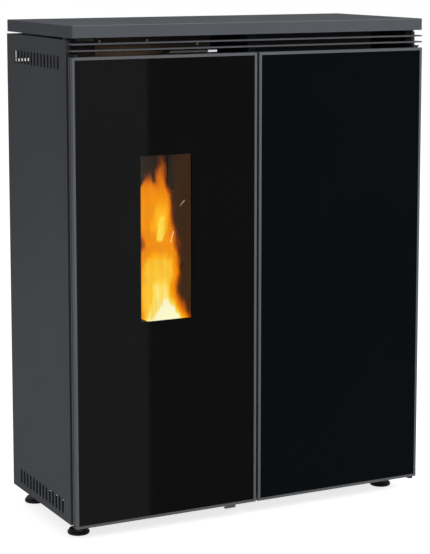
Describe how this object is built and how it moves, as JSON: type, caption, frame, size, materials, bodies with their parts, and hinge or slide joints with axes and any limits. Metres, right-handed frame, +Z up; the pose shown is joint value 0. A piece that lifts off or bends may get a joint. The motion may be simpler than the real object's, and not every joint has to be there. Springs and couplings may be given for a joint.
{
  "type": "pellet stove",
  "caption": "Slim two-door pellet stove: glazed fire side left, hopper side right, slotted side panels, warm-air slats under a flat lid, levelling feet, rear flue outlet.",
  "frame": {"origin": "centre of the bounding box at floor level", "axes": "+Z up; the doors face -Y; +Y is the wall side with the flue outlet; +X is to the right seen from the front"},
  "size_m": [0.82, 0.4, 1.056],
  "materials": {
    "body_paint": "fine textured anthracite paint",
    "lid_paint": "fine textured anthracite paint",
    "slat_paint": "anthracite paint",
    "frame_paint": "satin grey metallic",
    "black_glass": "black printed glass with a clear tall window",
    "fire_glass": "clear ceramic glass, faint amber",
    "stove_steel": "matt black heat-proof paint",
    "sheet_steel": "zinc-coated sheet",
    "cast": "rough casting",
    "liner_board": "brown fired board, sooty",
    "exchanger_paint": "heat-browned steel",
    "seal_rope": "woven glass-fibre rope",
    "bright_steel": "bright steel",
    "foot_black": "black moulded foot",
    "black_plastic": "fine textured",
    "grey_plastic": "fine textured",
    "board_green": "circuit board",
    "motor_metal": "die-cast",
    "button_red": "glossy"
  },
  "bodies": {
    "cabinet": {"base_pan": "body_paint", "corner_posts": "sheet_steel", "partition": "sheet_steel", "side_panel_left": "body_paint", "side_panel_right": "body_paint", "rear_cover": "sheet_steel", "top_cover": "lid_paint", "slat_lower": "slat_paint", "slat_upper": "slat_paint", "hinge_brackets": "stove_steel", "door_magnets": "black_plastic", "screws": "bright_steel", "firebox": "stove_steel", "firebox_liner": "liner_board", "pot_holder": "cast", "igniter": "bright_steel", "exchanger_box": "exchanger_paint", "exchanger_tubes": "stove_steel", "auger_tube": "sheet_steel", "auger_motor": "motor_metal", "pellet_chute": "stove_steel", "hopper": "sheet_steel", "hopper_guard": "bright_steel", "smoke_duct": "sheet_steel", "smoke_fan_housing": "sheet_steel", "smoke_fan_motor": "motor_metal", "flue_spigot": "bright_steel", "air_inlet": "bright_steel", "air_riser": "sheet_steel", "room_fan_housing": "sheet_steel", "room_fan_motor": "black_plastic", "control_panel": "black_plastic", "control_board": "board_green", "pressure_switch": "grey_plastic", "thermostat": "black_plastic", "power_inlet": "black_plastic"},
    "outer_door": {"outer_door_frame": "frame_paint", "outer_door_glass": "black_glass", "door_pull": "bright_steel"},
    "service_door": {"service_door_frame": "frame_paint", "service_door_glass": "black_glass"},
    "fire_door": {"fire_door_casting": "cast", "fire_door_glass": "fire_glass", "fire_door_rope": "seal_rope", "glass_clips": "bright_steel"},
    "fire_latch": {"fire_door_handle": "bright_steel"},
    "ash_box": {"ash_drawer": "stove_steel"},
    "pot": {"burn_pot": "cast"},
    "scraper_slider": {"scraper": "bright_steel"},
    "auger": {"auger_screw": "bright_steel"},
    "smoke_wheel": {"smoke_impeller": "bright_steel"},
    "room_wheel": {"room_impeller": "motor_metal"},
    "hopper_flap": {"hopper_lid": "lid_paint"},
    "panel_flap": {"control_flap": "lid_paint"},
    "rocker": {"rocker_switch": "black_plastic"},
    "button": {"reset_button": "button_red"},
    "foot_fl": {"foot_front_left": "foot_black"},
    "foot_fr": {"foot_front_right": "foot_black"},
    "foot_rl": {"foot_rear_left": "foot_black"},
    "foot_rr": {"foot_rear_right": "foot_black"}
  },
  "joints": [
    {"name": "outer_door_hinge", "type": "hinge", "parent": "cabinet", "child": "outer_door", "pos_m": [-0.4, -0.191, 0.5], "axis": [0, 0, -1], "range_deg": [0, 110]},
    {"name": "service_door_hinge", "type": "hinge", "parent": "cabinet", "child": "service_door", "pos_m": [0.4, -0.191, 0.5], "axis": [0, 0, 1], "range_deg": [0, 110]},
    {"name": "fire_door_hinge", "type": "hinge", "parent": "cabinet", "child": "fire_door", "pos_m": [-0.347, -0.153, 0.6], "axis": [0, 0, -1], "range_deg": [0, 95]},
    {"name": "fire_latch_turn", "type": "hinge", "parent": "fire_door", "child": "fire_latch", "pos_m": [-0.088, -0.17, 0.6], "axis": [0, 1, 0], "range_deg": [0, 80]},
    {"name": "ash_drawer_slide", "type": "slide", "parent": "cabinet", "child": "ash_box", "axis": [0, -1, 0], "range_m": [0, 0.2]},
    {"name": "burn_pot_lift", "type": "slide", "parent": "cabinet", "child": "pot", "axis": [0, 0, 1], "range_m": [0, 0.06]},
    {"name": "scraper_pull", "type": "slide", "parent": "cabinet", "child": "scraper_slider", "axis": [0, -1, 0], "range_m": [0, 0.045]},
    {"name": "auger_spin", "type": "hinge", "parent": "cabinet", "child": "auger", "pos_m": [0.05, -0.06, 0.46], "axis": [0.7071, 0, -0.7071], "continuous": true},
    {"name": "smoke_fan_spin", "type": "hinge", "parent": "cabinet", "child": "smoke_wheel", "pos_m": [-0.17, 0.06, 0.14], "axis": [0, 1, 0], "continuous": true},
    {"name": "room_fan_spin", "type": "hinge", "parent": "cabinet", "child": "room_wheel", "pos_m": [-0.205, 0.103, 0.482], "axis": [1, 0, 0], "continuous": true},
    {"name": "hopper_lid_hinge", "type": "hinge", "parent": "cabinet", "child": "hopper_flap", "pos_m": [0.143, 0.12, 1.0535], "axis": [-1, 0, 0], "range_deg": [0, 85]},
    {"name": "control_flap_hinge", "type": "hinge", "parent": "cabinet", "child": "panel_flap", "pos_m": [-0.24, 0.12, 1.0535], "axis": [-1, 0, 0], "range_deg": [0, 85]},
    {"name": "rocker_tilt", "type": "hinge", "parent": "cabinet", "child": "rocker", "pos_m": [0.34, 0.151, 0.13], "axis": [1, 0, 0], "range_deg": [0, 14]},
    {"name": "reset_press", "type": "slide", "parent": "cabinet", "child": "button", "axis": [0, -1, 0], "range_m": [0, 0.003], "stiffness_N_per_m": 400},
    {"name": "foot_fl_turn", "type": "hinge", "parent": "cabinet", "child": "foot_fl", "pos_m": [-0.3705, -0.115, 0.03], "axis": [0, 0, 1], "continuous": true},
    {"name": "foot_fr_turn", "type": "hinge", "parent": "cabinet", "child": "foot_fr", "pos_m": [0.3705, -0.115, 0.03], "axis": [0, 0, 1], "continuous": true},
    {"name": "foot_rl_turn", "type": "hinge", "parent": "cabinet", "child": "foot_rl", "pos_m": [-0.3705, 0.128, 0.03], "axis": [0, 0, 1], "continuous": true},
    {"name": "foot_rr_turn", "type": "hinge", "parent": "cabinet", "child": "foot_rr", "pos_m": [0.3705, 0.128, 0.03], "axis": [0, 0, 1], "continuous": true}
  ],
  "couplings": [
    {"joint": "fire_door_hinge", "follows": "outer_door_hinge", "ratio": 0.85},
    {"joint": "ash_drawer_slide", "follows": "outer_door_hinge", "m_per_rad": 0.104}
  ]
}
